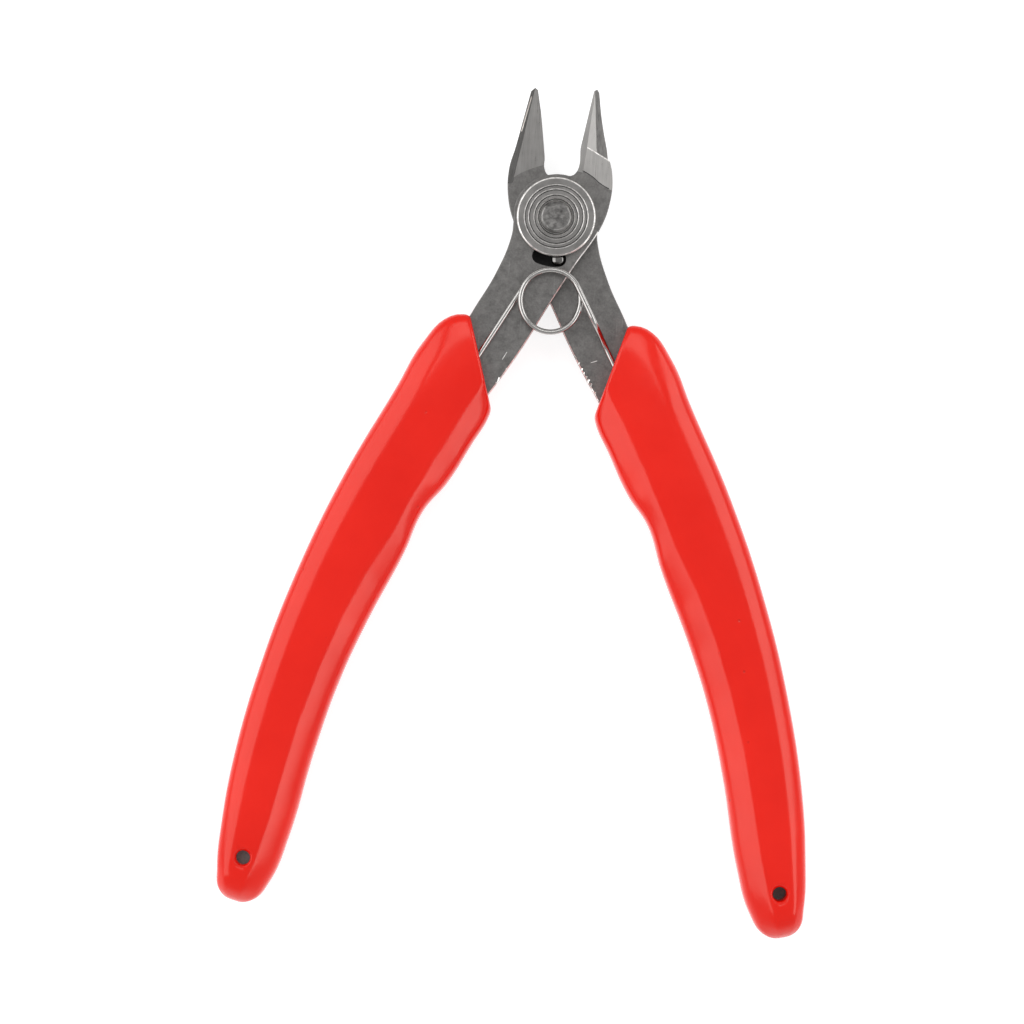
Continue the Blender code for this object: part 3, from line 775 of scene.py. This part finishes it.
def slot_cutter(name, side, steel):
    """The crescent window of the front half, or the shallow relief round the rear half's pin. Both take the
    near-black steel, painted shade on the window's walls and in the relief under the window.
    """
    low_z, high_z = PLATE_HEIGHTS[side]
    pin = WINDOW_MIDDLE - OPEN_HALF_ANGLE
    if side == FRONT:
        outline = orbit_slot(pin, WINDOW_MIDDLE + OPEN_HALF_ANGLE, WINDOW_HALF_WIDTH)
        return prism(f"{name} window", outline, low_z - MM, high_z + MM, steel)
    first, last = pin - 2 * OPEN_HALF_ANGLE, pin + RELIEF_PAST_PIN
    outline = orbit_slot(first, last, WINDOW_HALF_WIDTH + RELIEF_MARGIN)
    return prism(f"{name} relief", outline, high_z - RELIEF_DEPTH, high_z + MM, steel)


def make_blade(name, node, body, side, steels):
    """One half: jaw with its ground facets, pivot eye, and tang with rubbed edges and nicks."""
    low_z, high_z = PLATE_HEIGHTS[side]
    blade = chamfered_plate(name, side, steels["plate"], steels["edge"])
    bore = SHANK_RADIUS + RUNNING_CLEARANCE
    eye = [p * MM for p in arc((0.0, 0.0), bore / MM, 0, 2 * math.pi, BORE_POINTS)[:-1]]
    cutters = [
        prism(f"{name} eye", eye, low_z - MM, high_z + MM, steels["plate"]),
        *jaw_cutters(name, side, steels),
        *nick_cutters(name, side, steels["edge"]),
        slot_cutter(name, side, steels["painted_shade"]),
    ]
    for cutter in cutters:
        subtract(blade, cutter)
    apply_modifiers(blade, cutters)
    smooth(blade, 20)
    open_up(blade, side)
    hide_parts(node)
    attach(blade, body)


def crossed(a, b):
    """How far a is outside the grip's mouth line, and where the step from a to b crosses it, or None."""
    start, end = (p * MM for p in MOUTH)
    along = (end - start).normalized()
    outward = Vector((-along.y, along.x))
    over_a, over_b = (a - start).dot(outward), (b - start).dot(outward)
    return over_a, a + (b - a) * (over_a / (over_a - over_b)) if over_a * over_b < 0 else None


def grip_sides():
    """The grip's two long sides, each from the mouth to the end's tip, evenly spaced."""
    outline = traced(GRIP, GRIP_STEPS)
    count = len(outline)
    for i in range(count):
        outside, place = crossed(outline[i], outline[(i + 1) % count])
        if place is not None and outside > 0:
            inner_corner, entry = place, i + 1
        elif place is not None:
            outer_corner, leave = place, i
    kept = [inner_corner, *outline[entry : leave + 1], outer_corner]
    tip = min(range(len(kept)), key=lambda i: kept[i].y)
    return kept[: tip + 1], kept[tip:][::-1]


def along_line(points):
    """A function that gives the point at a share of the line's length."""
    reach = [0.0]
    for a, b in zip(points, points[1:]):
        reach.append(reach[-1] + (b - a).length)

    def at(share):
        wanted = min(max(share, 0.0), 1.0) * reach[-1]
        i = next(k for k in range(1, len(reach)) if reach[k] >= wanted - 1e-12)
        part = (wanted - reach[i - 1]) / max(reach[i] - reach[i - 1], 1e-12)
        return points[i - 1].lerp(points[i], part)

    return at, reach[-1]


def ridge_share(start, end):
    """Where a line across the grip meets the ridge's own curve, as a share of the line."""
    low, high = 0.0, 1.0
    for _ in range(HALVINGS):
        middle = (low + high) / 2
        point = start.lerp(end, middle) / MM
        above, below = next(
            (pair for pair in zip(RIDGE_CURVE, RIDGE_CURVE[1:]) if pair[1][1] <= point.y), RIDGE_CURVE[-2:]
        )
        ridge_x = above[0] + (below[0] - above[0]) * (point.y - above[1]) / (below[1] - above[1])
        if point.x > ridge_x:
            low = middle
        else:
            high = middle
    return min(max(low, RIDGE_SHARES[0]), RIDGE_SHARES[1])


def section_loop(ridge, full):
    """The closed section as a smooth B-spline loop, with its ridge at a share of the width. A full section
    has a boxier outer side."""
    cage = [(*point, 1) for point in SECTION] + [(*point, -1) for point in reversed(SECTION)]
    placed = []
    deeper = min(max(ridge / SECTION_RIDGE, 1.0), 1.3)
    for across, height, front in cage:
        if across <= SECTION_RIDGE:
            across *= ridge / SECTION_RIDGE
            height = 1 - (1 - height) * deeper if height > 0.5 else height * (2 - deeper)
        else:
            across = 1 - (1 - across) * (1 - ridge) / (1 - SECTION_RIDGE)
            height += (1 - height) * full * MOUTH_FULLNESS
        placed.append(Vector((across, height * front)))
    loop = []
    for i in range(len(placed)):
        a, b, c, d = (placed[(i + k) % len(placed)] for k in (-1, 0, 1, 2))
        for step in range(SPLINE_STEPS):
            t = step / SPLINE_STEPS
            nearer = a * (1 - t) ** 3 + b * (3 * t**3 - 6 * t**2 + 4)
            farther = c * (3 * t * (1 + t - t * t) + 1) + d * t**3
            loop.append((nearer + farther) / 6)
    return loop


def eased(value, low, high):
    """0 below low, 1 above high, and smooth between."""
    t = min(max((value - low) / (high - low), 0.0), 1.0)
    return t * t * (3 - 2 * t)


def grip_rings(side):
    """The grip's cross sections from the mouth's rounded lip to the end, each a ring of points."""
    inner, outer = grip_sides()
    inner_at, inner_length = along_line(inner)
    outer_at, outer_length = along_line(outer)
    length = (inner_length + outer_length) / 2
    tip_y = inner[-1].y
    shares = [0.0]
    while shares[-1] < 1.0:
        left = (1.0 - shares[-1]) * length
        step = RING_STEP if left > FINE_RINGS_FROM else max(FINE_RING_SHARE * left, FINEST_RING_STEP)
        shares.append(shares[-1] + step / length)
    shares = [share for share in shares if (1.0 - share) * length > FINEST_RING_STEP / 2]

    def ring(share, inset):
        start, end = inner_at(share), outer_at(share)
        width = (end - start).length
        across = (end - start) / max(width, 1e-9)
        travelled = share * length
        ridge = ridge_share(start, end)
        full = 1 - eased(travelled, 0.0, FULL_MOUTH_LENGTH)
        thick = MOUTH_THICKNESS + (1 - MOUTH_THICKNESS) * eased(travelled, *MOUTH_THICKENS)
        to_tip = min(((start.y + end.y) / 2 - tip_y) / END_ROUND, 1.0)
        depth = GRIP_HALF_DEPTH * thick * math.sqrt(max(1 - (1 - to_tip) ** 2, 0.0))
        loop = [Vector((p.x * width, p.y * depth)) for p in section_loop(ridge, full)]
        points = []
        for i, p in enumerate(loop):
            tangent = (loop[(i + 1) % len(loop)] - loop[i - 1]).normalized()
            p = p - Vector((-tangent.y, tangent.x)) * inset
            place = start + across * p.x
            points.append((side * place.x, place.y, GRIP_MIDDLE_Z + p.y))
        return points

    rings = [ring(distance * MM / length, inset * MM) for distance, inset in LIP]
    rings += [ring(share, 0.0) for share in shares if share * length > LIP[-1][0] * MM * LIP_MARGIN]
    tip = inner[-1]
    return rings, (side * tip.x, tip.y, GRIP_MIDDLE_Z)


def leg_line(side):
    """Where a leg leaves the coil, and its direction: side REAR is the right-hand leg."""
    outwards = -side
    radial = Vector((outwards * math.cos(LEG_ANGLE), math.sin(LEG_ANGLE), 0.0))
    start = Vector((0.0, COIL_CENTRE_Y, 0.0)) + radial * COIL_RADIUS
    along = Vector((outwards * math.sin(LEG_ANGLE), -math.cos(LEG_ANGLE), 0.0))
    return start, along


def grip_cutters(name, side, tang_z, wire_z, material):
    """The pocket for the tang, the channel for the spring's leg, and the hole near the end."""
    tang = [p for p in blade_outline(side) if p.y < POCKET_FROM_Y]
    grown = []
    for i, p in enumerate(tang):
        run = tang[min(i + 1, len(tang) - 1)] - tang[max(i - 1, 0)]
        grown.append(p + Vector((-run.y, run.x)).normalized() * POCKET_CLEARANCE)
    middle = sum(tang, Vector((0.0, 0.0))) / len(tang)
    if (grown[0] - middle).length < (tang[0] - middle).length:
        grown = [2 * p - q for p, q in zip(tang, grown)]
    top = tang_z + (FRONT_FACE_Z - FRONT_PLATE_Z) + POCKET_CLEARANCE
    pocket = prism(f"{name} pocket", mirrored(grown, side), tang_z - POCKET_CLEARANCE, top, material)

    start, along = leg_line(side)
    closing = Matrix.Rotation(side * OPEN_HALF_ANGLE, 4, "Z")
    start, along = closing @ start, closing @ along
    across = Vector((-along.y, along.x, 0.0))
    half_width = WIRE_RADIUS + CHANNEL_CLEARANCE
    reach = LEG_LENGTH + CHANNEL_CLEARANCE
    channel_low = tang_z + (FRONT_FACE_Z - FRONT_PLATE_Z) / 2
    channel_high = wire_z + half_width
    corners = [
        start + along * far + across * half_width * way
        for far, way in ((0.0, 1), (reach, 1), (reach, -1), (0.0, -1))
    ]
    channel = prism(f"{name} channel", [c.to_2d() for c in corners], channel_low, channel_high, material)

    bore = END_HOLE_RADIUS
    flare = END_HOLE_FLARE
    top_z = GRIP_MIDDLE_Z + GRIP_HALF_DEPTH
    low_z = GRIP_MIDDLE_Z - GRIP_HALF_DEPTH
    profile = [
        (0.0, top_z + MM),
        (bore + flare + MM, top_z + MM),
        (bore + flare, top_z - 0.1 * MM),
        (bore + flare * 0.3, top_z - flare * 0.7),
        (bore, top_z - flare * 1.6),
        (bore, low_z + flare * 1.6),
        (bore + flare * 0.3, low_z + flare * 0.7),
        (bore + flare, low_z + 0.1 * MM),
        (bore + flare + MM, low_z - MM),
        (0.0, low_z - MM),
    ]
    hole = turned(f"{name} hole", profile, material, steps=48)
    hole.location = (side * END_HOLE_AT.x, END_HOLE_AT.y, 0.0)
    return [pocket, channel, hole]


def make_grip(name, node, body, side, tang_z, wire_z, material):
    """A moulded sleeve: an inner facet up to a ridge, a nearly flat face, and a chamfered outer side."""
    rings, tip = grip_rings(side)
    bm = bmesh.new()
    loops = [[bm.verts.new(point) for point in ring] for ring in rings]
    bm.faces.new(loops[0])
    for near, far in zip(loops, loops[1:]):
        for i in range(len(near)):
            bm.faces.new((near[i - 1], near[i], far[i], far[i - 1]))
    end = bm.verts.new(tip)
    for i in range(len(loops[-1])):
        bm.faces.new((loops[-1][i - 1], loops[-1][i], end))
    grip = mesh_object(name, bm, material)
    cutters = [subtract(grip, cutter) for cutter in grip_cutters(name, side, tang_z, wire_z, material)]
    apply_modifiers(grip, cutters)
    smooth(grip, 50)
    open_up(grip, side)
    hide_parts(node)
    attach(grip, body)


def make_disc(material, bright, dark):
    """The stepped disc: a fine turned groove runs below each step's sloping wall. Faces that look in
    towards the axis, and the rim's faces, take the bright steel as painted highlight; other faces that look
    outwards take the near-black steel as painted shade.
    """
    hole = SHANK_RADIUS + RUNNING_CLEARANCE
    soften = 0.03 * MM
    rim = 0.15 * MM
    groove = 0.1 * MM
    profile = [
        (hole, DISC_Z),
        (hole, DISC_TOP_Z - len(DISC_STEP_RADII) * DISC_STEP_DEPTH - soften),
        (hole + soften, DISC_TOP_Z - len(DISC_STEP_RADII) * DISC_STEP_DEPTH),
    ]
    for step, radius in reversed(list(enumerate(DISC_STEP_RADII))):
        low = DISC_TOP_Z - (step + 1) * DISC_STEP_DEPTH
        profile += [
            (radius - groove * 1.4, low),
            (radius - groove * 0.1, low - groove * 0.5),
            (radius + groove * 1.4, low + DISC_STEP_DEPTH),
        ]
    profile += [
        (DISC_RADIUS - rim - 2 * soften, DISC_TOP_Z),
        (DISC_RADIUS - rim, DISC_TOP_Z - soften),
        (DISC_RADIUS - soften, DISC_TOP_Z - rim),
        (DISC_RADIUS, DISC_TOP_Z - rim - 2 * soften),
        (DISC_RADIUS, DISC_Z + soften),
        (DISC_RADIUS - soften, DISC_Z),
    ]
    disc = turned("stepped_disc", profile, material, steps=180, closed=True, smooth_angle=12.0)
    disc.data.materials.append(bright)
    disc.data.materials.append(dark)
    # Painted highlight on inward-looking faces and the rim, painted shade on the other outward-looking
    # faces.
    for polygon in disc.data.polygons:
        outwards = polygon.normal.to_2d().dot(polygon.center.to_2d().normalized())
        at_rim = polygon.center.to_2d().length > DISC_RADIUS - 1.5 * rim
        if outwards < -0.3 or (at_rim and outwards > 0.3):
            polygon.material_index = 1
        elif outwards > 0.3:
            polygon.material_index = 2
    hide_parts("rivet_disc")
    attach(disc, "pivot")


def make_rivet(head_steel, end_steel):
    """The rivet: a chamfered head at the back, and a spun end that is dished and uneven. Shares are of
    the shank's radius."""
    chamfer = 0.3 * MM
    soften = 0.05 * MM
    dish = 0.10 * MM
    lip_from = 0.84
    drop = 0.1 * MM
    drop_from = 0.9
    uneven_to = 0.98
    lump_size = 0.9 * MM
    lump_height = 0.03 * MM
    end_rings = 24
    profile = []
    for i in range(end_rings + 1):
        share = i / end_rings
        lip = math.sin(math.pi * eased(share, lip_from, 1.0))
        height = DISC_TOP_Z - dish + dish * lip - drop * eased(share, drop_from, 1.0)
        profile.append((SHANK_RADIUS * share, height))
    profile += [
        (SHANK_RADIUS, REAR_HEAD_DEPTH),
        (REAR_HEAD_RADIUS - soften, REAR_HEAD_DEPTH),
        (REAR_HEAD_RADIUS, REAR_HEAD_DEPTH - soften),
        (REAR_HEAD_RADIUS, chamfer),
        (REAR_HEAD_RADIUS - chamfer * 0.3, chamfer * 0.3),
        (REAR_HEAD_RADIUS - chamfer, 0.0),
        (0.0, 0.0),
    ]
    rivet = turned("rivet", profile, head_steel, steps=96)
    rivet.data.materials.append(end_steel)
    for vert in rivet.data.vertices:
        out = vert.co.to_2d().length / SHANK_RADIUS
        if vert.co.z > DISC_Z and out < uneven_to:
            rough = noise.fractal(vert.co / lump_size, 0.6, 2.0, 4)
            vert.co.z += lump_height * rough * (1 - out**4)
    for polygon in rivet.data.polygons:
        if polygon.center.z > DISC_Z:
            polygon.material_index = 1
    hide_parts("pivot_rivet")
    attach(rivet, "pivot")


def make_pin(material):
    """The dome-ended stop pin."""
    dome = 0.5
    steps = 10
    profile = []
    for i in range(steps + 1):
        turn = math.pi / 2 * i / steps
        profile.append((PIN_RADIUS * math.sin(turn), PIN_HIGH.z - PIN_RADIUS * dome * (1 - math.cos(turn))))
    profile += [(PIN_RADIUS, PIN_LOW.z + 0.1 * MM), (PIN_RADIUS - 0.1 * MM, PIN_LOW.z), (0.0, PIN_LOW.z)]
    pin = turned("stop_pin_dome", profile, material, steps=48)
    middle = (PIN_LOW + PIN_HIGH) / 2
    pin.location = (middle.x, middle.y, 0.0)
    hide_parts("stop_pin")
    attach(pin, "rear_half")


def wire(name, path, material):
    """A round wire along a path of points, as a closed mesh."""
    curve = bpy.data.curves.new(name, "CURVE")
    curve.dimensions = "3D"
    curve.bevel_depth = WIRE_RADIUS
    curve.bevel_resolution = 6
    curve.use_fill_caps = True
    spline = curve.splines.new("POLY")
    spline.points.add(len(path) - 1)
    for point, place in zip(spline.points, path):
        point.co = (*place, 1.0)
    drawn = bpy.data.objects.new(f"{name} path", curve)
    bpy.context.scene.collection.objects.link(drawn)
    bpy.context.view_layer.update()
    graph = bpy.context.evaluated_depsgraph_get()
    mesh = bpy.data.meshes.new_from_object(drawn.evaluated_get(graph))
    bpy.data.objects.remove(drawn, do_unlink=True)
    bm = bmesh.new()
    bm.from_mesh(mesh)
    bmesh.ops.remove_doubles(bm, verts=bm.verts, dist=0.001 * MM)
    obj = mesh_object(name, bm, material)
    smooth(obj, 40)
    return obj


def make_spring(material):
    """The coil rides on the pivot. Each leg runs from the coil towards the half that it pushes, easing from
    the coil's height to its own, and is not attached to that half.
    """
    high_turn_z = LOW_TURN_Z + COIL_PITCH * COIL_TURNS
    points_per_turn = 72
    steps = round(COIL_TURNS * points_per_turn)
    coil = []
    for i in range(steps + 1):
        share = i / steps
        turn = math.pi - LEG_ANGLE - share * COIL_TURNS * 2 * math.pi
        bulge = COIL_BULGE * min(math.sin(turn), 0.0) ** 2
        round_coil = Vector((math.cos(turn), math.sin(turn), 0.0)) * (COIL_RADIUS + bulge)
        height = LOW_TURN_Z + (high_turn_z - LOW_TURN_Z) * share
        coil.append(round_coil + Vector((0.0, COIL_CENTRE_Y, height)))
    spring_coil = wire("spring_coil", coil, material)
    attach(spring_coil, "pivot")

    leg_steps = 52
    legs = (
        ("spring_left_leg", FRONT, "front_half", LOW_TURN_Z, LOW_TURN_Z),
        ("spring_right_leg", REAR, "rear_half", high_turn_z, REAR_LEG_Z),
    )
    for name, side, body, coil_z, grip_z in legs:
        start, along = leg_line(side)
        path = []
        for i in range(leg_steps + 1):
            distance = LEG_LENGTH * i / leg_steps
            height = coil_z + (grip_z - coil_z) * eased(distance, LEG_DROP_FROM, LEG_DROP_TO)
            path.append(start + along * distance + Vector((0.0, 0.0, height)))
        leg = wire(name, path, material)
        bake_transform(leg)
        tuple(start)
        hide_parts("return_spring")
    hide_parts("return_spring")


def make_floor():
    radius = 3.0
    bm = bmesh.new()
    bmesh.ops.create_circle(bm, cap_ends=True, segments=96, radius=radius)
    floor = mesh_object("studio_floor", bm, floor_finish())
    floor.location.z = FLOOR_Z


def softbox(name, place, aim, width, height, watts):
    light = bpy.data.lights.new(name, "AREA")
    light.shape = "RECTANGLE"
    light.size = width
    light.size_y = height
    light.energy = watts
    obj = bpy.data.objects.new(name, light)
    obj.location = place
    obj.rotation_mode = "QUATERNION"
    obj.rotation_quaternion = (Vector(place) - Vector(aim)).to_track_quat("Z", "Y")
    obj.visible_camera = False
    bpy.context.scene.collection.objects.link(obj)


def light_tent():
    """A pale surround that is brightest low down and dimmer overhead, where the camera looks in."""
    world = bpy.data.worlds.new("light tent")
    world.use_nodes = True
    tree = world.node_tree
    direction = tree.nodes.new("ShaderNodeTexCoord")
    split = tree.nodes.new("ShaderNodeSeparateXYZ")
    tree.links.new(direction.outputs["Generated"], split.inputs["Vector"])
    ramp = tree.nodes.new("ShaderNodeValToRGB")
    (horizon, horizon_level), (middle, middle_level), (top, top_level) = TENT_LEVELS
    stops = ramp.color_ramp.elements
    stops[0].position = horizon
    stops[0].color = grey(horizon_level, 0.0)
    stops[1].position = top
    stops[1].color = grey(top_level, 0.0)
    stops.new(middle).color = grey(middle_level, 0.0)
    tree.links.new(split.outputs["Z"], ramp.inputs["Fac"])
    background = tree.nodes["Background"]
    tree.links.new(ramp.outputs["Color"], background.inputs["Color"])
    background.inputs["Strength"].default_value = 1.0
    bpy.context.scene.world = world


def make_studio():
    middle = (CAD_BOX[0] + CAD_BOX[1]) / 2
    for name, (x, y, z), width, height, watts in SOFTBOXES:
        softbox(name, (x, middle.y + y, z), middle, width, height, watts)
    light_tent()


def make_camera():
    """Square above the tool, a little rolled, with the whole tool in view."""
    distance = 0.7
    framed_width = 151.6 * MM
    roll = math.radians(3.9)
    over = Vector((-3.54, -43.85, 0.0)) * MM
    camera = bpy.data.objects.new("camera", bpy.data.cameras.new("camera"))
    camera.location = over + Vector((0.0, 0.0, GRIP_MIDDLE_Z + distance))
    camera.rotation_euler.z = roll
    camera.data.lens = camera.data.sensor_width * distance / framed_width
    camera.data.clip_start = 0.05
    camera.data.clip_end = 10.0
    bpy.context.scene.collection.objects.link(camera)
    bpy.context.scene.camera = camera
    bpy.context.scene.view_settings.view_transform = "Standard"


def main():
    make_camera()
    jaws = {}
    edge = worn_and_highlight_steel()
    plate = plate_steel()
    painted_shade = painted_shade_steel()
    for side, label in ((FRONT, "front"), (REAR, "rear")):
        steels = {"plate": plate, "edge": edge, "painted_shade": painted_shade}
        for surface, greys in (*GROUND_GREYS.items(), ("flank", FLANK_SHADE_GREYS[side])):
            steels[surface] = ground_steel(f"{label}_{surface}_steel", *greys, side * GRINDING_ANGLE)
        jaws[side] = steels
    make_blade("front_half_plate", "front_blade_half", "front_half", FRONT, jaws[FRONT])
    make_blade("rear_half_plate", "rear_blade_half", "rear_half", REAR, jaws[REAR])
    turned_steel = disc_steel()
    # The edge steel and the near-black steel give the disc its painted highlight and painted shade.
    make_disc(turned_steel, edge, painted_shade)
    make_rivet(turned_steel, peened_steel())
    make_pin(pin_steel())
    make_spring(wire_steel())
    red = vinyl()
    make_grip("left_grip_sleeve", "left_grip", "front_half", FRONT, FRONT_PLATE_Z, LOW_TURN_Z, red)
    make_grip("right_grip_sleeve", "right_grip", "rear_half", REAR, REAR_PLATE_Z, REAR_LEG_Z, red)
    make_floor()
    make_studio()


main()
